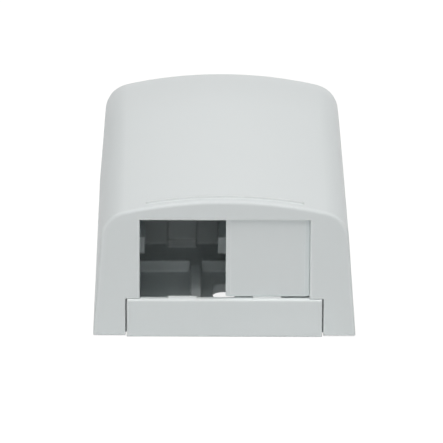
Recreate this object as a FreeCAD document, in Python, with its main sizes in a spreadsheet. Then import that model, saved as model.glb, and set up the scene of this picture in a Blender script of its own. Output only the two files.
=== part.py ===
"""Two-port surface mount jack box: clip-on cover, screw-down base and one blank insert.

Millimetres. The origin is the middle of the footprint, on the mounting surface. +X is the right
of the box, +Y points from the ports to the rear and +Z up. Heights are counted from the mounting
surface, and depths back from the front face.
"""
import FreeCAD, Part
import math
import os
import Sketcher
from FreeCAD import Vector

SIZES = {
    # outer form of the cover
    "box_width": 49.3,
    "box_length": 93.0,
    "box_height": 26.9,
    "cover_wall": 2.0,
    "reveal": 0.2,            # the cover's rim stays this far above the mounting surface
    "side_draft": 4.4,        # degrees
    "rear_corner": 6.5,
    "shoulder": 5.4,          # radius between the walls and the crown
    "crown_radius": 85.0,     # arch of the top, seen from the front
    "fall_length": 39.0,      # the top falls away over this length at the rear
    "fall_radius": 125.0,
    "front_edge": 0.5,
    # raised line along the top's front edge
    "bead_span": 29.5,
    "bead_width": 0.6,
    "bead_height": 0.3,
    "bead_setback": 2.2,
    # port window in the cover's front
    "port_width": 15.9,
    "lintel": 3.75,           # from the window's upper edge to the top of the arch
    "window_edge": 0.2,
    # guides that hang beside the ports, each with a foot that reaches forward
    "guide_cover": 0.8,       # how far a side guide stands in front of its port
    "guide_half": 1.1,        # half the width of the middle guide
    "guide_root": 2.0,        # how far a side guide runs on behind the wall
    "guide_setback": 32.0,
    "guide_depth": 3.0,
    "guide_drop": 14.1,       # how far a guide reaches below the window's upper edge
    "foot_height": 3.3,
    "foot_reach": 12.0,
    # sill: the base's front wall, which closes the window from below
    "sill_width": 36.6,
    "sill_height": 7.45,
    "sill_wall": 1.3,
    "sill_proud": 0.15,
    "sill_edge": 0.4,
    "sill_gap": 0.25,
    # catches on the sill, one under each port
    "bump_width": 5.4,
    "bump_height": 0.3,
    "bump_depth": 0.6,
    "bump_setback": 0.5,
    # tray of the base
    "tray_gap": 0.25,
    "tray_floor": 1.7,
    "rim_height": 7.5,
    "rim_wall": 1.6,
    # ribs of the floor
    "inner_rail_offset": 4.3,
    "outer_rail_offset": 16.2,
    "rail_width": 2.0,
    "inner_rail_height": 4.0,
    "outer_rail_height": 5.0,
    "inner_rail_depth": 27.0,
    "cross_wall": 1.5,
    "cross_wall_span": 17.3,
    "front_wall_depth": 29.5,
    "front_wall_height": 3.9,
    "front_wall_slot": 2.3,
    "rear_wall_depth": 44.9,
    "rear_wall_height": 8.0,
    # mounting screw slots
    "screw_width": 4.2,
    "screw_length": 8.2,
    "screw_depth": 18.9,
    "screw_spacing": 52.0,
    # cable posts, one behind each port, against the rear cross wall
    "post_width": 5.5,
    "post_reach": 1.6,        # how far a post stands in front of the wall
    "post_height": 12.0,
    "step_length": 0.5,
    "step_height": 3.2,
    "tie_width": 3.0,
    "tie_height": 1.6,
    "tie_bottom": 8.6,
    # cable break-outs
    "rear_exit_width": 13.0,
    "side_exit_width": 10.0,
    "side_exit_depth": 70.0,
    "exit_height": 7.0,
    "exit_web": 0.9,
    "score_width": 0.6,
    "score_depth": 0.35,
    "exit_rim_gap": 1.0,
    # snaps between tray and cover
    "snap_length": 6.0,
    "snap_bottom": 3.0,
    "snap_height": 1.1,
    "snap_reach": 0.3,
    "snap_play": 0.2,
    "snap_front_depth": 14.0,
    "snap_rear_depth": 55.0,
    # blank insert
    "port_gap": 0.05,
    "blank_recess": 0.8,
    "blank_plate": 1.0,
    "blank_lift": 0.3,        # from the sill to the plate
    "blank_margin": 0.2,      # from the other port to the plate
    "blank_bevel": 0.9,       # width of the bevels down the plate's sides
    "blank_bevel_depth": 0.25,
    "blank_round": 0.3,       # upper corners of the plate
    "blank_body_depth": 12.0,
    "blank_body_inset": 1.4,
    "blank_body_rise": 0.9,
    "blank_wall": 1.2,
    "catch_play": 0.15,
    "hook_width": 6.0,
    "hook_depth": 1.0,
    "hook_reach": 0.6,
    "hook_gap": 0.1,
    "tongue_slot": 0.8,
}

# places that follow from the sizes above; depths become Y by adding FRONT
FRONT = "-sizes.box_length / 2"
REAR = "sizes.box_length / 2"
BEND = "sizes.box_length / 2 - sizes.fall_length"
WINDOW_BOTTOM = "sizes.sill_height + sizes.port_gap"
WINDOW_TOP = "(sizes.box_height - sizes.lintel)"
INSERT_TOP = f"{WINDOW_TOP} - sizes.port_gap"
GUIDE_BOTTOM = f"({WINDOW_TOP} - sizes.guide_drop)"
TRAY_INSET = "(sizes.cover_wall + sizes.tray_gap) / cos(sizes.side_draft)"
TRAY_SIDE = f"sizes.box_width / 2 - {TRAY_INSET}"
TRAY_FRONT = f"{FRONT} + sizes.cover_wall + sizes.tray_gap"
TRAY_REAR = f"{REAR} - {TRAY_INSET}"
PORT_CENTRE = "sizes.port_width / 2"
SIDE_EXIT = f"({FRONT} + sizes.side_exit_depth)"
SPARE = "1"               # how far a cut runs on past the material it cuts

doc = FreeCAD.newDocument("surface_mount_jack_box")
sheet = doc.addObject("Spreadsheet::Sheet", "sizes")
for row, (alias, number) in enumerate(SIZES.items(), start=1):
    sheet.set(f"A{row}", alias)
    sheet.set(f"B{row}", str(number))
    sheet.setAlias(f"B{row}", alias)
doc.recompute()


def value(expression):
    """Number that an expression over the sheet gives now."""
    result = sheet.evalExpression(expression)
    return float(getattr(result, "Value", result))


def new_body(name):
    body = doc.addObject("PartDesign::Body", name)
    body.Label = name
    return body


def new_sketch(body, name, role, offset="0"):
    """Empty sketch parallel to one of the body's origin planes, offset along that plane's normal."""
    plane = next(item for item in body.Origin.OriginFeatures if item.Role == role)
    sketch = body.newObject("Sketcher::SketchObject", name)
    sketch.AttachmentSupport = [(plane, "")]
    sketch.MapMode = "FlatFace"
    sketch.setExpression(".AttachmentOffset.Base.z", offset)
    return sketch


def bind(sketch, kind, *geometry_and_expression):
    """Dimension of a sketch that an expression drives."""
    *geometry, expression = geometry_and_expression
    index = sketch.addConstraint(Sketcher.Constraint(kind, *geometry, value(expression)))
    sketch.setExpression(f"Constraints[{index}]", expression)


def add_loop(sketch, corners):
    """Closed loop of straight lines with each corner's two coordinates bound."""
    first = sketch.GeometryCount
    points = [Vector(value(across), value(along), 0) for across, along in corners]
    count = len(points)
    for index in range(count):
        sketch.addGeometry(Part.LineSegment(points[index], points[(index + 1) % count]), False)
    for index, (across, along) in enumerate(corners):
        following = first + (index + 1) % count
        sketch.addConstraint(Sketcher.Constraint("Coincident", first + index, 2, following, 1))
        bind(sketch, "DistanceX", first + index, 1, across)
        bind(sketch, "DistanceY", first + index, 1, along)


def rectangle(left, right, low, high):
    return [(left, low), (right, low), (right, high), (left, high)]


def mirrored(left, right, low, high):
    """Two rectangles, one each side of the middle line."""
    return [rectangle(left, right, low, high),
            rectangle(f"-({right})", f"-({left})", low, high)]


def loops_sketch(body, name, role, offset, loops):
    sketch = new_sketch(body, name, role, offset)
    for corners in loops:
        add_loop(sketch, corners)
    return sketch


def finish(body, feature):
    """Recompute, and stop when the feature that was just made is broken."""
    doc.recompute()
    if "Invalid" in feature.State or "Error" in feature.State or not feature.Shape.isValid():
        raise RuntimeError(f"{feature.Name} failed: {feature.State}")
    body.Tip = feature
    return feature


def pad(body, name, role, start, length, loops):
    """Boss grown upward (XY), rearward (XZ) or to the right (YZ) from the plane at start."""
    offset = f"-({start})" if role == "XZ_Plane" else start
    feature = body.newObject("PartDesign::Pad", name)
    feature.Profile = loops_sketch(body, name + "_outline", role, offset, loops)
    feature.Reversed = role == "XZ_Plane"
    feature.setExpression("Length", length)
    return finish(body, feature)


def pocket(body, name, role, start, length, loops):
    """Cut made upward (XY), rearward (XZ) or to the right (YZ) from the plane at start."""
    offset = f"-({start})" if role == "XZ_Plane" else start
    feature = body.newObject("PartDesign::Pocket", name)
    feature.Profile = loops_sketch(body, name + "_outline", role, offset, loops)
    feature.Reversed = role != "XZ_Plane"
    feature.setExpression("Length", length)
    before = feature.BaseFeature.Shape.Volume
    finish(body, feature)
    if feature.Shape.Volume >= before:
        raise RuntimeError(f"{name} cuts nothing")
    return feature


def edge_names(feature, test):
    return [f"Edge{number}" for number, edge in enumerate(feature.Shape.Edges, start=1)
            if test(edge.BoundBox)]


def face_names(feature, test):
    return [f"Face{number}" for number, face in enumerate(feature.Shape.Faces, start=1)
            if test(face)]


def fillet(body, name, radius, test):
    """Round the edges of the body's tip whose bounding box passes the test."""
    base = body.Tip
    feature = body.newObject("PartDesign::Fillet", name)
    feature.Base = (base, edge_names(base, test))
    feature.setExpression("Radius", radius)
    return finish(body, feature)


def drafted_block(body, name, outline, low, height, test):
    """Block whose chosen walls lean inwards by the moulding draft, hinged at the mounting plane."""
    block = pad(body, name, "XY_Plane", low, height, [outline])
    feature = body.newObject("PartDesign::Draft", name + "_draft")
    feature.Base = (block, face_names(block, test))
    feature.NeutralPlane = (next(item for item in body.Origin.OriginFeatures
                                 if item.Role == "XY_Plane"), [""])
    feature.setExpression("Angle", "sizes.side_draft")
    return finish(body, feature)


def near(first, second, tolerance=0.01):
    return abs(first - second) < tolerance


def is_wall(face, side, rear):
    """True for an upright side or rear wall of a block whose outline reaches side and rear."""
    box = face.BoundBox
    across = near(box.XLength, 0) and near(abs(box.XMin), value(side))
    behind = near(box.YLength, 0) and near(box.YMin, value(rear))
    return across or behind


def lean_against(sketch, wall, inset):
    """Turn a sketch into the plane of a leaning wall, the rear or the right one, inset into it.

    The sketch's second axis then runs up the wall from the mounting plane.
    """
    if wall == "rear":
        reach, turn, along_normal = f"({REAR})", "", "-"
    else:
        reach, turn, along_normal = "(sizes.box_width / 2)", "-", ""
    sketch.AttachmentOffset = FreeCAD.Placement(Vector(), FreeCAD.Rotation(Vector(1, 0, 0), 1))
    sketch.setExpression(".AttachmentOffset.Base.y", f"-({inset}) * sin(sizes.side_draft)")
    sketch.setExpression(".AttachmentOffset.Base.z",
                         f"{along_normal}({reach} - ({inset}) * cos(sizes.side_draft))")
    sketch.setExpression(".AttachmentOffset.Rotation.Angle", f"{turn}sizes.side_draft")


def wall_feature(body, kind, name, wall, inset, length, loops, outward):
    """Pad or pocket square to the rear or right wall; outward says which way it grows or cuts."""
    role = "XZ_Plane" if wall == "rear" else "YZ_Plane"
    sketch = new_sketch(body, name + "_outline", role)
    lean_against(sketch, wall, inset)
    for corners in loops:
        add_loop(sketch, corners)
    feature = body.newObject(f"PartDesign::{kind}", name)
    feature.Profile = sketch
    normal_points_out = wall == "side"
    along_normal = kind == "Pad"
    feature.Reversed = outward != (normal_points_out == along_normal)
    feature.setExpression("Length", length)
    return finish(body, feature)


def mirror_across(body, name, originals):
    """Repeat features on the other side of the middle plane."""
    feature = body.newObject("PartDesign::Mirrored", name)
    feature.Originals = originals
    plane = next(item for item in body.Origin.OriginFeatures if item.Role == "YZ_Plane")
    feature.MirrorPlane = (plane, [""])
    return finish(body, feature)


def snap_loops(play):
    """Outlines of one side's two snaps on the leaning wall, widened all round by the play."""
    loops = []
    for depth in ("sizes.snap_front_depth", "sizes.snap_rear_depth"):
        centre = f"{FRONT} + {depth}"
        half = f"(sizes.snap_length / 2 + {play})"
        loops.append(rectangle(f"{centre} - {half}", f"{centre} + {half}",
                               f"sizes.snap_bottom - {play}",
                               f"sizes.snap_bottom + sizes.snap_height + {play}"))
    return loops


# ---------------------------------------------------------------- cover
def crown_cut(body):
    """Trim the block to its crown.

    The arch seen from the front is carried along a line that runs level and then falls away on a
    large radius, and stays upright all the way.
    """
    run_out = 5.0
    head_room = 15.0
    start = value(FRONT) - run_out
    bend = value(BEND)
    end = value(REAR) + run_out
    top = value("sizes.box_height")
    fall = value("sizes.fall_radius")
    sweep = math.asin((end - bend) / fall)
    path = new_sketch(body, "crown_path", "YZ_Plane")
    path.addGeometry(Part.LineSegment(Vector(start, top, 0), Vector(bend, top, 0)), False)
    circle = Part.Circle(Vector(bend, top - fall, 0), Vector(0, 0, 1), fall)
    path.addGeometry(Part.ArcOfCircle(circle, math.pi / 2 - sweep, math.pi / 2), False)
    path.addConstraint(Sketcher.Constraint("Tangent", 0, 2, 1, 2))
    path.addConstraint(Sketcher.Constraint("Horizontal", 0))
    bind(path, "DistanceX", 0, 1, f"{FRONT} - {run_out}")
    bind(path, "DistanceY", 0, 1, "sizes.box_height")
    bind(path, "DistanceX", 0, 2, BEND)
    bind(path, "Radius", 1, "sizes.fall_radius")
    bind(path, "DistanceX", 1, 1, f"{REAR} + {run_out}")

    arch = value("sizes.crown_radius")
    half = value("sizes.box_width / 2") + run_out
    lean = math.asin(half / arch)
    foot = top - arch + arch * math.cos(lean)
    section = new_sketch(body, "crown_section", "XZ_Plane", f"-({FRONT}) + {run_out}")
    circle = Part.Circle(Vector(0, top - arch, 0), Vector(0, 0, 1), arch)
    section.addGeometry(Part.ArcOfCircle(circle, math.pi / 2 - lean, math.pi / 2 + lean), False)
    corners = [Vector(-half, foot, 0), Vector(-half, top + head_room, 0),
               Vector(half, top + head_room, 0), Vector(half, foot, 0)]
    for corner, following in zip(corners, corners[1:]):
        section.addGeometry(Part.LineSegment(corner, following), False)
    for joint in [("Coincident", 0, 2, 1, 1), ("Coincident", 1, 2, 2, 1), ("Coincident", 2, 2, 3, 1),
                  ("Coincident", 3, 2, 0, 1), ("Vertical", 1), ("Vertical", 3), ("Horizontal", 2),
                  ("PointOnObject", 0, 3, -2)]:
        section.addConstraint(Sketcher.Constraint(*joint))
    bind(section, "Radius", 0, "sizes.crown_radius")
    bind(section, "DistanceY", 0, 3, "sizes.box_height - sizes.crown_radius")
    bind(section, "DistanceX", 1, 1, f"-sizes.box_width / 2 - {run_out}")
    bind(section, "DistanceX", 3, 1, f"sizes.box_width / 2 + {run_out}")
    bind(section, "DistanceY", 2, 1, f"sizes.box_height + {head_room}")
    doc.recompute()

    cut = body.newObject("PartDesign::SubtractivePipe", "crown_cut")
    cut.Profile = section
    cut.Spine = path
    cut.Mode = "Fixed"
    return finish(body, cut)


def make_bead(body):
    """Thin raised line that follows the arch a little behind the front edge."""
    base = value("sizes.crown_radius")
    centre = value("sizes.box_height") - base
    lean = math.asin(value("sizes.bead_span") / 2 / base)
    root = 0.3                # the bead starts this far inside the arch
    offset = f"-({FRONT} + sizes.bead_setback)"
    sketch = new_sketch(body, "bead_outline", "XZ_Plane", offset)
    for radius in (base - root, base + value("sizes.bead_height")):
        circle = Part.Circle(Vector(0, centre, 0), Vector(0, 0, 1), radius)
        sketch.addGeometry(Part.ArcOfCircle(circle, math.pi / 2 - lean, math.pi / 2 + lean), False)
    inner, outer = sketch.Geometry[:2]
    for arc_end, ends in [(1, (inner.StartPoint, outer.StartPoint)),
                          (2, (inner.EndPoint, outer.EndPoint))]:
        line = sketch.addGeometry(Part.LineSegment(*ends), False)
        sketch.addConstraint(Sketcher.Constraint("Coincident", 0, arc_end, line, 1))
        sketch.addConstraint(Sketcher.Constraint("Coincident", 1, arc_end, line, 2))
        sketch.addConstraint(Sketcher.Constraint("Vertical", line))
    sketch.addConstraint(Sketcher.Constraint("PointOnObject", 0, 3, -2))
    sketch.addConstraint(Sketcher.Constraint("Coincident", 0, 3, 1, 3))
    bind(sketch, "DistanceY", 0, 3, "sizes.box_height - sizes.crown_radius")
    bind(sketch, "Radius", 0, f"sizes.crown_radius - {root}")
    bind(sketch, "Radius", 1, "sizes.crown_radius + sizes.bead_height")
    bind(sketch, "DistanceX", 2, 1, "sizes.bead_span / 2")
    bind(sketch, "DistanceX", 3, 1, "-sizes.bead_span / 2")
    feature = body.newObject("PartDesign::Pad", "bead")
    feature.Profile = sketch
    feature.Reversed = True
    feature.setExpression("Length", "sizes.bead_width")
    return finish(body, feature)


def make_cover():
    body = new_body("cover")
    allowance = 3.0
    outline = rectangle("-sizes.box_width / 2", "sizes.box_width / 2", FRONT, REAR)
    drafted_block(body, "block", outline, "sizes.reveal", f"sizes.box_height + {allowance}",
                  lambda face: is_wall(face, "sizes.box_width / 2", REAR))
    crown_cut(body)
    front = value(FRONT)
    bend = value(BEND)
    middle = value("sizes.box_height / 2")
    rim = value("sizes.reveal")
    fillet(body, "rear_corners", "sizes.rear_corner",
           lambda box: near(box.ZMin, rim) and not near(box.ZMax, rim) and box.YMax > bend)
    fillet(body, "shoulders", "sizes.shoulder",
           lambda box: box.ZMin > middle and not near(box.YMax, front)
           and not (near(box.YMin, bend) and near(box.YMax, bend)))
    base = body.Tip
    shell = body.newObject("PartDesign::Thickness", "shell")
    shell.Base = (base, face_names(base, lambda face: near(face.BoundBox.ZMax, rim)))
    shell.Reversed = True
    shell.setExpression("Value", "sizes.cover_wall")
    finish(body, shell)
    fillet(body, "front_rim", "sizes.front_edge",
           lambda box: near(box.YMin, front) and near(box.YMax, front) and not near(box.ZMax, rim))
    make_bead(body)

    # window over a wider notch that lets the sill through; open below, so the cover lifts off
    below = f"-{SPARE}"
    notch = "(sizes.sill_width / 2 + sizes.sill_gap)"
    window = "sizes.port_width"
    corners = [(f"-{notch}", below), (notch, below), (notch, WINDOW_BOTTOM),
               (window, WINDOW_BOTTOM), (window, WINDOW_TOP),
               (f"-{window}", WINDOW_TOP), (f"-{window}", WINDOW_BOTTOM),
               (f"-{notch}", WINDOW_BOTTOM)]
    pocket(body, "window", "XZ_Plane", f"{FRONT} - {SPARE}", f"sizes.cover_wall + 2 * {SPARE}",
           [corners])
    reach, top, bottom = value(window), value(WINDOW_TOP), value(WINDOW_BOTTOM)
    fillet(body, "window_round", "sizes.window_edge",
           lambda box: near(box.YMin, front) and near(box.YMax, front)
           and (near(abs(box.XMin), reach) and near(abs(box.XMax), reach))
           and (near(box.ZMax, top) and not near(box.ZMax, bottom)))

    # guides down from the roof beside each port: a rib set back, and a foot that comes forward
    roof = "sizes.box_height - sizes.cover_wall / 2"
    side_roof = f"{roof} - sizes.port_width * sizes.port_width / (2 * sizes.crown_radius)"
    foot_top = f"{GUIDE_BOTTOM} + sizes.foot_height"
    for name, top, middle_top, begin, length in [
            ("guides", side_roof, roof, f"{FRONT} + sizes.guide_setback", "sizes.guide_depth"),
            ("guide_feet", foot_top, foot_top,
             f"{FRONT} + sizes.guide_setback - sizes.foot_reach", "sizes.foot_reach")]:
        loops = mirrored("sizes.port_width - sizes.guide_cover",
                         "sizes.port_width + sizes.guide_root", GUIDE_BOTTOM, top)
        loops.append(rectangle("-sizes.guide_half", "sizes.guide_half", GUIDE_BOTTOM, middle_top))
        pad(body, name, "XZ_Plane", begin, length, loops)

    # break-outs: the wall is thinned from inside and its outline scored from outside
    thinned = f"sizes.cover_wall - sizes.exit_web + {SPARE}"
    inside = f"sizes.cover_wall + {SPARE}"
    side_features = []
    for wall, centre, width in [("rear", "0", "sizes.rear_exit_width"),
                                ("side", SIDE_EXIT, "sizes.side_exit_width")]:
        left, right = f"{centre} - {width} / 2", f"{centre} + {width} / 2"
        inner_left, inner_right = f"{left} + sizes.score_width", f"{right} - sizes.score_width"
        high = "sizes.exit_height"
        inner_high = f"{high} - sizes.score_width"
        panel = wall_feature(body, "Pocket", f"{wall}_exit_panel", wall, inside, thinned,
                             [rectangle(left, right, below, high)], outward=True)
        score = [(left, below), (left, high), (right, high), (right, below),
                 (inner_right, below), (inner_right, inner_high),
                 (inner_left, inner_high), (inner_left, below)]
        groove = wall_feature(body, "Pocket", f"{wall}_exit_score", wall, "0", "sizes.score_depth",
                              [score], outward=False)
        if wall == "side":
            side_features += [panel, groove]

    # recesses that the tray's snaps click into
    loops = snap_loops("sizes.snap_play")
    depth = f"sizes.snap_reach + sizes.snap_play + {SPARE}"
    side_features.append(wall_feature(body, "Pocket", "snap_recesses", "side", inside, depth, loops,
                                      outward=True))
    mirror_across(body, "left_side", side_features)
    return body


# ---------------------------------------------------------------- base
def cut_slots(body):
    """Two round-ended slots on the middle line, for the front and the rear screw."""
    across = value("sizes.screw_width / 2")
    half_run = "(sizes.screw_length - sizes.screw_width) / 2"
    run = Vector(0, value(half_run), 0)
    side = Vector(across, 0, 0)
    axis = Vector(0, 0, 1)
    sketch = new_sketch(body, "screw_slots_outline", "XY_Plane", f"-{SPARE}")
    for number, shift in enumerate(("0", "sizes.screw_spacing")):
        centre = f"({FRONT} + sizes.screw_depth + {shift})"
        first = 4 * number
        rear, front = Vector(0, value(centre), 0) + run, Vector(0, value(centre), 0) - run
        sketch.addGeometry(Part.ArcOfCircle(Part.Circle(rear, axis, across), 0, math.pi), False)
        sketch.addGeometry(Part.LineSegment(rear - side, front - side), False)
        sketch.addGeometry(Part.ArcOfCircle(Part.Circle(front, axis, across), math.pi, 2 * math.pi),
                           False)
        sketch.addGeometry(Part.LineSegment(front + side, rear + side), False)
        for begin, begin_end, other, other_end in [(0, 2, 1, 1), (1, 2, 2, 1), (2, 2, 3, 1),
                                                   (3, 2, 0, 1)]:
            sketch.addConstraint(Sketcher.Constraint("Tangent", first + begin, begin_end,
                                                     first + other, other_end))
        sketch.addConstraint(Sketcher.Constraint("PointOnObject", first, 3, -2))
        sketch.addConstraint(Sketcher.Constraint("PointOnObject", first + 2, 3, -2))
        bind(sketch, "Radius", first, "sizes.screw_width / 2")
        bind(sketch, "DistanceY", first, 3, f"{centre} + {half_run}")
        bind(sketch, "DistanceY", first + 2, 3, f"{centre} - {half_run}")
    feature = body.newObject("PartDesign::Pocket", "screw_slots")
    feature.Profile = sketch
    feature.Reversed = True
    feature.setExpression("Length", f"sizes.tray_floor + 2 * {SPARE}")
    return finish(body, feature)


def make_base():
    body = new_body("base")
    outline = rectangle(f"-({TRAY_SIDE})", TRAY_SIDE, TRAY_FRONT, TRAY_REAR)
    drafted_block(body, "tray", outline, "0", "sizes.rim_height",
                  lambda face: is_wall(face, TRAY_SIDE, TRAY_REAR))
    low_rim = value("sizes.rim_height / 2")
    fillet(body, "tray_corners", "sizes.rear_corner - sizes.cover_wall - sizes.tray_gap",
           lambda box: box.ZLength > low_rim and box.YMax > 0 and box.YLength < low_rim)
    inner_side = f"({TRAY_SIDE} - sizes.rim_wall)"
    inner_rear = f"{TRAY_REAR} - sizes.rim_wall"
    inner_front = f"{TRAY_FRONT} + sizes.rim_wall"
    mouth = "sizes.sill_width / 2"
    mouth_front = f"{TRAY_FRONT} - {SPARE}"
    hollow = [(f"-{inner_side}", inner_front), (f"-{mouth}", inner_front),
              (f"-{mouth}", mouth_front), (mouth, mouth_front), (mouth, inner_front),
              (inner_side, inner_front), (inner_side, inner_rear), (f"-{inner_side}", inner_rear)]
    pocket(body, "hollow", "XY_Plane", "sizes.tray_floor", "sizes.rim_height", [hollow])

    # sill on a tongue of the floor, with its catches
    sill_front = f"{FRONT} - sizes.sill_proud"
    sill_sides = (f"-{mouth}", mouth)
    pad(body, "tongue", "XY_Plane", "0", "sizes.tray_floor",
        [rectangle(*sill_sides, sill_front, inner_front)])
    pad(body, "sill", "XY_Plane", "0", "sizes.sill_height",
        [rectangle(*sill_sides, sill_front, f"{sill_front} + sizes.sill_wall")])
    front = value(sill_front)
    top = value("sizes.sill_height")
    fillet(body, "sill_round", "sizes.sill_edge",
           lambda box: near(box.YMin, front) and near(box.YMax, front) and near(box.ZMin, top))
    half_bump = "sizes.bump_width / 2"
    pad(body, "catches", "XZ_Plane", f"{FRONT} + sizes.bump_setback", "sizes.bump_depth",
        mirrored(f"{PORT_CENTRE} - {half_bump}", f"{PORT_CENTRE} + {half_bump}",
                 "sizes.sill_height - sizes.sill_edge", "sizes.sill_height + sizes.bump_height"))

    # ribs: rails from the sill, a low cross wall with a slot in line with each inner rail, and a
    # higher one behind it
    rib_foot = "sizes.tray_floor / 2"
    rail_start = f"{sill_front} + sizes.sill_wall / 2"
    for name, offset, height, end in [
            ("inner_rails", "sizes.inner_rail_offset", "sizes.inner_rail_height",
             "sizes.inner_rail_depth"),
            ("outer_rails", "sizes.outer_rail_offset", "sizes.outer_rail_height",
             "sizes.front_wall_depth")]:
        pad(body, name, "XY_Plane", rib_foot, f"{height} - {rib_foot}",
            mirrored(offset, f"{offset} + sizes.rail_width", rail_start, f"{FRONT} + {end}"))
    rail_middle = "(sizes.inner_rail_offset + sizes.rail_width / 2)"
    slot_in = f"{rail_middle} - sizes.front_wall_slot / 2"
    slot_out = f"{rail_middle} + sizes.front_wall_slot / 2"
    wall_front = f"{FRONT} + sizes.front_wall_depth"
    wall_rear = f"{wall_front} + sizes.cross_wall"
    loops = mirrored(slot_out, "sizes.cross_wall_span", wall_front, wall_rear)
    loops.append(rectangle(f"-({slot_in})", slot_in, wall_front, wall_rear))
    pad(body, "front_cross_wall", "XY_Plane", rib_foot, f"sizes.front_wall_height - {rib_foot}",
        loops)
    wall_front = f"{FRONT} + sizes.rear_wall_depth"
    pad(body, "rear_cross_wall", "XY_Plane", rib_foot, f"sizes.rear_wall_height - {rib_foot}",
        [rectangle("-sizes.cross_wall_span", "sizes.cross_wall_span", wall_front,
                   f"{wall_front} + sizes.cross_wall")])

    # cable posts on the rear wall: a step on the floor, the post and a hole for the tie
    half_post = "sizes.post_width / 2"
    post_sides = (f"{PORT_CENTRE} - {half_post}", f"{PORT_CENTRE} + {half_post}")
    post_front = f"{wall_front} - sizes.post_reach"
    post_rear = f"{wall_front} + sizes.cross_wall"
    pad(body, "post_steps", "XY_Plane", rib_foot, f"sizes.step_height - {rib_foot}",
        mirrored(*post_sides, f"{post_front} - sizes.step_length", post_front))
    pad(body, "posts", "XY_Plane", rib_foot, f"sizes.post_height - {rib_foot}",
        mirrored(*post_sides, post_front, post_rear))
    half_tie = "sizes.tie_width / 2"
    pocket(body, "tie_holes", "XZ_Plane", f"{post_front} - {SPARE}",
           f"sizes.post_reach + sizes.cross_wall + 2 * {SPARE}",
           mirrored(f"{PORT_CENTRE} - {half_tie}", f"{PORT_CENTRE} + {half_tie}",
                    "sizes.tie_bottom", "sizes.tie_bottom + sizes.tie_height"))

    cut_slots(body)

    # the rim is open where the cover has its break-outs
    half_rear = "(sizes.rear_exit_width / 2 + sizes.exit_rim_gap)"
    half_side = "(sizes.side_exit_width / 2 + sizes.exit_rim_gap)"
    gaps = mirrored(f"{inner_side} - {SPARE}", f"{TRAY_SIDE} + {SPARE}",
                    f"{SIDE_EXIT} - {half_side}", f"{SIDE_EXIT} + {half_side}")
    gaps.append(rectangle(f"-{half_rear}", half_rear, f"{inner_rear} - {SPARE}",
                          f"{TRAY_REAR} + {SPARE}"))
    pocket(body, "rim_gaps", "XY_Plane", "sizes.tray_floor", "sizes.rim_height", gaps)

    # snaps on the outside of the rim, rooted in it
    root = "sizes.rim_wall / 4"
    snaps = wall_feature(body, "Pad", "snaps", "side",
                         f"sizes.cover_wall + sizes.tray_gap + {root}",
                         f"sizes.tray_gap + sizes.snap_reach + {root}", snap_loops("0"),
                         outward=True)
    mirror_across(body, "left_snaps", [snaps])
    return body


# ---------------------------------------------------------------- blank insert
def make_blank():
    """Insert that closes the right port: a plate, a hollow body and a tongue with a hook."""
    body = new_body("blank_insert")
    left = "sizes.blank_margin"
    right = "sizes.port_width - sizes.port_gap"
    bottom = "(sizes.sill_height + sizes.blank_lift)"
    plate_front = f"{FRONT} + sizes.blank_recess"
    plate_rear = f"{plate_front} + sizes.blank_plate"
    bevel_rear = f"{plate_front} + sizes.blank_bevel_depth"
    pad(body, "plate", "XY_Plane", bottom, f"{INSERT_TOP} - {bottom}",
        [[(left, plate_rear), (left, bevel_rear), (f"{left} + sizes.blank_bevel", plate_front),
          (f"{right} - sizes.blank_bevel", plate_front), (right, bevel_rear), (right, plate_rear)]])
    top = value(INSERT_TOP)
    flank = value("sizes.blank_plate - sizes.blank_bevel_depth")
    fillet(body, "upper_corners", "sizes.blank_round",
           lambda box: near(box.ZMin, top) and near(box.YLength, flank) and near(box.XLength, 0))
    half_catch = "(sizes.bump_width / 2 + sizes.catch_play)"
    catch_top = "sizes.sill_height + sizes.bump_height + sizes.port_gap"
    pocket(body, "catch_notch", "XZ_Plane", f"{plate_front} - {SPARE}",
           f"sizes.blank_plate + 2 * {SPARE}",
           [rectangle(f"{PORT_CENTRE} - {half_catch}", f"{PORT_CENTRE} + {half_catch}",
                      f"{bottom} - {SPARE}", catch_top)])

    body_left = f"{left} + sizes.blank_body_inset"
    body_right = f"{right} - sizes.blank_body_inset"
    body_low = f"{bottom} + sizes.blank_body_rise"
    body_high = f"{INSERT_TOP} - sizes.blank_body_rise"
    pad(body, "box", "XZ_Plane", f"{plate_rear} - sizes.blank_plate / 2", "sizes.blank_body_depth",
        [rectangle(body_left, body_right, body_low, body_high)])
    pocket(body, "hollow", "XZ_Plane", plate_rear, f"sizes.blank_body_depth + {SPARE}",
           [rectangle(f"{body_left} + sizes.blank_wall", f"{body_right} - sizes.blank_wall",
                      f"{body_low} + sizes.blank_wall", f"{body_high} - sizes.blank_wall")])

    # hook behind the window's upper edge, on a tongue freed by two slots
    left_edge = f"{PORT_CENTRE} - sizes.hook_width / 2"
    right_edge = f"{PORT_CENTRE} + sizes.hook_width / 2"
    tongue_start = f"{FRONT} + sizes.cover_wall + sizes.hook_gap"
    tongue_end = f"{plate_rear} + sizes.blank_body_depth + {SPARE}"
    pad(body, "hook", "XZ_Plane", tongue_start, "sizes.hook_depth",
        [rectangle(left_edge, right_edge, f"{body_high} - sizes.blank_wall / 2",
                   f"{WINDOW_TOP} + sizes.hook_reach")])
    pocket(body, "tongue_slots", "XY_Plane", f"{body_high} - sizes.blank_wall - {SPARE}",
           f"sizes.blank_wall + 2 * {SPARE}",
           [rectangle(f"{left_edge} - sizes.tongue_slot", left_edge, tongue_start, tongue_end),
            rectangle(right_edge, f"{right_edge} + sizes.tongue_slot", tongue_start, tongue_end)])
    return body


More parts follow.
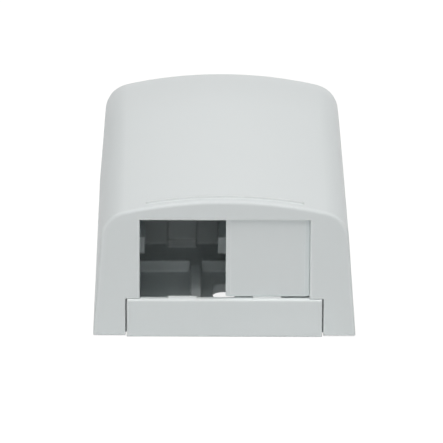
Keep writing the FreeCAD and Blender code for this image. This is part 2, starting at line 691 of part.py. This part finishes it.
# ---------------------------------------------------------------- build and write
parts = [make() for make in (make_base, make_cover, make_blank)]
doc.recompute()
for item in doc.Objects:
    if "Invalid" in item.State or "Error" in item.State:
        raise RuntimeError(f"{item.Name} is {item.State}")
for body in parts:
    shape = body.Shape
    if shape.isNull() or not shape.isValid() or len(shape.Solids) != 1:
        raise RuntimeError(f"{body.Label} is not one valid solid")
    print(f"{body.Label}: {shape.Volume / 1000:.2f} cm3, {len(shape.Faces)} faces")
os.makedirs("parts", exist_ok=True)
for body in parts:
    body.Shape.exportStep(f"parts/{body.Label}.step")
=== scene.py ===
"""Dressed model of a two-port surface mount jack box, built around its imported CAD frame.

Metres. The origin is the middle of the footprint, on the mounting surface. +X is the right of
the box, -Y is the side with the ports and +Z is up.
"""
import math

import bpy
from mathutils import Matrix, Vector

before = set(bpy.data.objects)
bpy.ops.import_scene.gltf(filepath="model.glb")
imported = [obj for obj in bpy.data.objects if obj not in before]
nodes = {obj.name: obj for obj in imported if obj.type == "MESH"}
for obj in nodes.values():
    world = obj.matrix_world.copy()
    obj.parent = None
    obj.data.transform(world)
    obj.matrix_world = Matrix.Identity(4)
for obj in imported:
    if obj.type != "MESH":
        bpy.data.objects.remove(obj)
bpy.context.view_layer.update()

# ---------------------------------------------------------------- cover
# The cover is one arched shell of off-white ABS. Its mould is spark-eroded outside, which leaves
# a very fine, even grain with a soft sheen, and the plastic is faintly cloudy as it was filled.
# pale colour painted on edges and inside masks as a highlight
edge_highlight_colour = (0.920, 0.985, 0.988)
grain_scale = 4000.0
grain_depth = 0.00002
plastic_ior = 1.5


def grain_and_painted_highlight():
    """Group: cloudy colour, uneven sheen, fine grain, softened edges and painted highlights."""
    group = bpy.data.node_groups.new("grain_and_painted_highlight", "ShaderNodeTree")
    for name in ("Pale", "Deep", "Edge"):
        group.interface.new_socket(name, in_out="INPUT", socket_type="NodeSocketColor")
    for name in ("Edge Radius", "Highlight Mask", "Cloud Scale", "Grain Scale", "Grain Height",
                 "Smoothest", "Roughest"):
        group.interface.new_socket(name, in_out="INPUT", socket_type="NodeSocketFloat")
    for name, kind in [("Colour", "NodeSocketColor"), ("Roughness", "NodeSocketFloat"),
                       ("Normal", "NodeSocketVector")]:
        group.interface.new_socket(name, in_out="OUTPUT", socket_type=kind)
    add, join = group.nodes.new, group.links.new
    given, result = add("NodeGroupInput"), add("NodeGroupOutput")
    place = add("ShaderNodeTexCoord")

    cloud = add("ShaderNodeTexNoise")
    cloud.inputs["Detail"].default_value = 3.0
    tint = add("ShaderNodeMix")
    tint.data_type = "RGBA"
    join(place.outputs["Object"], cloud.inputs["Vector"])
    join(given.outputs["Cloud Scale"], cloud.inputs["Scale"])
    join(cloud.outputs["Fac"], tint.inputs["Factor"])
    join(given.outputs["Pale"], tint.inputs["A"])
    join(given.outputs["Deep"], tint.inputs["B"])

    # painted highlight: edges are painted paler, as if they caught the light, and so is any part
    # inside a given mask;
    #     an edge is where the rounded normal and the true one part, in full once their product is
    #     down to edge_full
    edge_starts, edge_full = 1.0, 0.97
    soft = add("ShaderNodeBevel")
    soft.samples = 6
    join(given.outputs["Edge Radius"], soft.inputs["Radius"])
    sharp = add("ShaderNodeNewGeometry")
    agree = add("ShaderNodeVectorMath")
    agree.operation = "DOT_PRODUCT"
    join(soft.outputs["Normal"], agree.inputs[0])
    join(sharp.outputs["Normal"], agree.inputs[1])
    edge = add("ShaderNodeMapRange")
    edge.inputs["From Min"].default_value = edge_starts
    edge.inputs["From Max"].default_value = edge_full
    join(agree.outputs["Value"], edge.inputs["Value"])
    painted_highlight = add("ShaderNodeMath")
    painted_highlight.operation = "MAXIMUM"
    join(edge.outputs["Result"], painted_highlight.inputs[0])
    join(given.outputs["Highlight Mask"], painted_highlight.inputs[1])
    pale = add("ShaderNodeMix")
    pale.data_type = "RGBA"
    join(painted_highlight.outputs["Value"], pale.inputs["Factor"])
    join(tint.outputs["Result"], pale.inputs["A"])
    join(given.outputs["Edge"], pale.inputs["B"])
    join(pale.outputs["Result"], result.inputs["Colour"])

    grain = add("ShaderNodeTexNoise")
    grain.inputs["Detail"].default_value = 2.0
    join(place.outputs["Object"], grain.inputs["Vector"])
    join(given.outputs["Grain Scale"], grain.inputs["Scale"])
    sheen = add("ShaderNodeMapRange")
    join(grain.outputs["Fac"], sheen.inputs["Value"])
    join(given.outputs["Smoothest"], sheen.inputs["To Min"])
    join(given.outputs["Roughest"], sheen.inputs["To Max"])
    join(sheen.outputs["Result"], result.inputs["Roughness"])
    relief = add("ShaderNodeBump")
    relief.inputs["Distance"].default_value = grain_depth
    join(given.outputs["Grain Height"], relief.inputs["Strength"])
    join(grain.outputs["Fac"], relief.inputs["Height"])
    join(soft.outputs["Normal"], relief.inputs["Normal"])
    join(relief.outputs["Normal"], result.inputs["Normal"])
    return group


def moulded_plastic(name, pale, deep, edge_radius, cloud_scale, grain_height, smoothest, roughest):
    """Off-white moulding plastic whose colour, painted highlights, sheen and grain come from the
    shared group.
    """
    material = bpy.data.materials.new(name)
    material.use_nodes = True
    shader = material.node_tree.nodes["Principled BSDF"]
    shader.inputs["IOR"].default_value = plastic_ior
    grain = material.node_tree.nodes.new("ShaderNodeGroup")
    grain.name = "grain"
    grain.node_tree = bpy.data.node_groups.get("grain_and_painted_highlight") or grain_and_painted_highlight()
    for socket, value in [("Pale", (*pale, 1)), ("Deep", (*deep, 1)), ("Edge", (*edge_highlight_colour, 1)),
                          ("Edge Radius", edge_radius), ("Cloud Scale", cloud_scale),
                          ("Grain Scale", grain_scale), ("Grain Height", grain_height),
                          ("Smoothest", smoothest), ("Roughest", roughest)]:
        grain.inputs[socket].default_value = value
    join = material.node_tree.links.new
    join(grain.outputs["Colour"], shader.inputs["Base Color"])
    join(grain.outputs["Roughness"], shader.inputs["Roughness"])
    join(grain.outputs["Normal"], shader.inputs["Normal"])
    return material


def box_mask():
    """Group: 1 inside an upright box given by its Middle and Half Size, and 0 outside it."""
    group = bpy.data.node_groups.new("box_mask", "ShaderNodeTree")
    for name in ("Middle", "Half Size"):
        group.interface.new_socket(name, in_out="INPUT", socket_type="NodeSocketVector")
    group.interface.new_socket("Mask", in_out="OUTPUT", socket_type="NodeSocketFloat")
    add, join = group.nodes.new, group.links.new
    given, place = add("NodeGroupInput"), add("ShaderNodeTexCoord")

    # room is how far a point lies inside the box along each axis, less than nothing outside it
    offset, away, room = (add("ShaderNodeVectorMath") for step in range(3))
    offset.operation, away.operation, room.operation = "SUBTRACT", "ABSOLUTE", "SUBTRACT"
    join(place.outputs["Object"], offset.inputs[0])
    join(given.outputs["Middle"], offset.inputs[1])
    join(offset.outputs["Vector"], away.inputs[0])
    join(given.outputs["Half Size"], room.inputs[0])
    join(away.outputs["Vector"], room.inputs[1])
    split = add("ShaderNodeSeparateXYZ")
    join(room.outputs["Vector"], split.inputs["Vector"])
    least_xy, least, inside = (add("ShaderNodeMath") for step in range(3))
    least_xy.operation, least.operation = "MINIMUM", "MINIMUM"
    inside.operation = "GREATER_THAN"
    inside.inputs[1].default_value = 0.0
    join(split.outputs["X"], least_xy.inputs[0])
    join(split.outputs["Y"], least_xy.inputs[1])
    join(least_xy.outputs["Value"], least.inputs[0])
    join(split.outputs["Z"], least.inputs[1])
    join(least.outputs["Value"], inside.inputs[0])
    join(inside.outputs["Value"], add("NodeGroupOutput").inputs["Mask"])
    return group


def paint_highlight(material, middle, half_size):
    """Paints a highlight, in the pale colour painted on edges, on the part of a moulding inside a
    box.
    """
    tree = material.node_tree
    mask = tree.nodes.new("ShaderNodeGroup")
    mask.node_tree = bpy.data.node_groups.get("box_mask") or box_mask()
    mask.inputs["Middle"].default_value = middle
    mask.inputs["Half Size"].default_value = half_size
    tree.links.new(mask.outputs["Mask"], tree.nodes["grain"].inputs["Highlight Mask"])


def finish_moulding(node, material):
    """Gives a CAD node its material, and nothing else."""
    nodes[node].data.materials.clear()
    nodes[node].data.materials.append(material)


cover_plastic = moulded_plastic("cover_plastic", pale=(0.787, 0.850, 0.855),
                                deep=(0.775, 0.840, 0.847), edge_radius=0.0006, cloud_scale=45,
                                grain_height=0.25, smoothest=0.38, roughest=0.48)
# painted highlight along the raised line at the top's front edge
paint_highlight(cover_plastic, middle=(0.0, -0.0443, 0.0270), half_size=(0.01475, 0.00045, 0.0030))
finish_moulding("cover", cover_plastic)

# ---------------------------------------------------------------- base
# The base is a shallow tray of the same plastic, moulded separately, with the sill that closes
# the front. It comes from a plainer mould, so its ribs and floor are a little smoother.
base_plastic = moulded_plastic("base_plastic", pale=(0.785, 0.848, 0.853),
                               deep=(0.773, 0.838, 0.845), edge_radius=0.0006, cloud_scale=70,
                               grain_height=0.15, smoothest=0.34, roughest=0.44)
# painted highlight along the top of the sill
paint_highlight(base_plastic, middle=(0.0, -0.0459, 0.0076), half_size=(0.0185, 0.0009, 0.0004))
finish_moulding("base", base_plastic)

# ---------------------------------------------------------------- blank insert
# The blank insert is a small moulding that snaps into a port from the front. Its face is flat
# and faintly smoother than the cover around it.
insert_plastic = moulded_plastic("insert_plastic", pale=(0.774, 0.836, 0.842),
                                 deep=(0.762, 0.826, 0.834), edge_radius=0.0003, cloud_scale=90,
                                 grain_height=0.12, smoothest=0.34, roughest=0.42)
finish_moulding("blank_insert", insert_plastic)

# ---------------------------------------------------------------- floor and backdrop
# A plain white table top that runs on to the horizon. The camera and mirror-like reflections see
# it as nearly pure white, darkened only where the box keeps light off it.
floor_reach = 3.0
floor_drop = 0.0002
floor_paint = 0.8
floor_glow = 0.86
floor_lit = 0.3
floor_mesh = bpy.data.meshes.new("floor")
floor_mesh.from_pydata([(-floor_reach, -floor_reach, -floor_drop),
                        (floor_reach, -floor_reach, -floor_drop),
                        (floor_reach, floor_reach, -floor_drop),
                        (-floor_reach, floor_reach, -floor_drop)], [], [(0, 1, 2, 3)])
floor = bpy.data.objects.new("floor", floor_mesh)
bpy.context.scene.collection.objects.link(floor)


def seen_white(tree, plain, glow):
    """Glow for camera, glossy and transmission rays, and the plain shader for all others."""
    path = tree.nodes.new("ShaderNodeLightPath")
    first = tree.nodes.new("ShaderNodeMath")
    first.operation = "MAXIMUM"
    seen = tree.nodes.new("ShaderNodeMath")
    seen.operation = "MAXIMUM"
    tree.links.new(path.outputs["Is Camera Ray"], first.inputs[0])
    tree.links.new(path.outputs["Is Glossy Ray"], first.inputs[1])
    tree.links.new(first.outputs["Value"], seen.inputs[0])
    tree.links.new(path.outputs["Is Transmission Ray"], seen.inputs[1])
    choose = tree.nodes.new("ShaderNodeMixShader")
    tree.links.new(seen.outputs["Value"], choose.inputs["Fac"])
    tree.links.new(plain, choose.inputs[1])
    tree.links.new(glow, choose.inputs[2])
    return choose.outputs["Shader"]


floor_material = bpy.data.materials.new("floor_white")
floor_material.use_nodes = True
tree = floor_material.node_tree
paint = tree.nodes["Principled BSDF"]
paint.inputs["Base Color"].default_value = (floor_paint, floor_paint, floor_paint, 1)
paint.inputs["Roughness"].default_value = 1.0
# what is seen is mostly glow, with a share of real light so that the shadow stays
lift = tree.nodes.new("ShaderNodeEmission")
lift.inputs["Strength"].default_value = floor_glow
faint = tree.nodes.new("ShaderNodeBsdfDiffuse")
faint.inputs["Color"].default_value = (floor_lit, floor_lit, floor_lit, 1)
shade = tree.nodes.new("ShaderNodeAddShader")
tree.links.new(lift.outputs["Emission"], shade.inputs[0])
tree.links.new(faint.outputs["BSDF"], shade.inputs[1])
tree.links.new(seen_white(tree, paint.outputs["BSDF"], shade.outputs["Shader"]),
               tree.nodes["Material Output"].inputs["Surface"])
floor_mesh.materials.append(floor_material)

# ---------------------------------------------------------------- light
# Studio light: strong soft boxes over the top, weaker ones low at the ports, at both sides and
# behind, all a little warm. Mirror-like reflections see the white room around them.
lamp_distance = 1.5
lamp_width = 0.7
lamp_tint = (1.0, 0.970, 0.962)
world = bpy.data.worlds.new("studio")
world.use_nodes = True
bpy.context.scene.world = world
tree = world.node_tree
sky = tree.nodes["Background"]
sky.inputs["Strength"].default_value = 0.0
backdrop = tree.nodes.new("ShaderNodeBackground")
backdrop.inputs["Strength"].default_value = 1.0
for part in (sky, backdrop):
    part.inputs["Color"].default_value = (1, 1, 1, 1)
tree.links.new(seen_white(tree, sky.outputs["Background"], backdrop.outputs["Background"]),
               tree.nodes["World Output"].inputs["Surface"])


def soft_box(name, turn, height, power):
    """Square area lamp that faces the box, turn degrees from the front and height degrees up."""
    turn, height = math.radians(turn), math.radians(height)
    place = lamp_distance * Vector((math.sin(turn) * math.cos(height),
                                    -math.cos(turn) * math.cos(height), math.sin(height)))
    lamp = bpy.data.lights.new(name, "AREA")
    lamp.shape = "SQUARE"
    lamp.size = lamp_width
    lamp.energy = power
    lamp.color = lamp_tint
    holder = bpy.data.objects.new(name, lamp)
    holder.location = place
    holder.rotation_euler = (-place).to_track_quat("-Z", "Y").to_euler()
    bpy.context.scene.collection.objects.link(holder)


soft_box("overhead", turn=0, height=85, power=6.0)
soft_box("front_high", turn=0, height=60, power=6.5)
soft_box("front", turn=0, height=35, power=1.32)
soft_box("front_low", turn=0, height=12, power=1.67)
soft_box("left", turn=-40, height=35, power=2.6)
soft_box("right", turn=90, height=35, power=3.1)
soft_box("rear", turn=180, height=35, power=2.0)

# ---------------------------------------------------------------- camera
# A long lens looks down on the ports from just left of the middle.
elevation = math.radians(20.3)
azimuth = math.radians(0.5)
roll = math.radians(0.35)
distance = 0.966
target = Vector((-0.000665, -0.0465, 0.02297))
ahead = Vector((math.sin(azimuth) * math.cos(elevation), math.cos(azimuth) * math.cos(elevation),
                -math.sin(elevation)))
right = ahead.cross(Vector((0, 0, 1))).normalized()
up = right.cross(ahead)
facing = Matrix((right, up, -ahead)).transposed() @ Matrix.Rotation(roll, 3, "Z")
lens = bpy.data.cameras.new("camera")
lens.sensor_width = 36.0
lens.lens = 421.8
camera = bpy.data.objects.new("camera", lens)
camera.matrix_world = Matrix.Translation(target - distance * ahead) @ facing.to_4x4()
bpy.context.scene.collection.objects.link(camera)
bpy.context.scene.camera = camera

bpy.context.scene.view_settings.view_transform = "Standard"
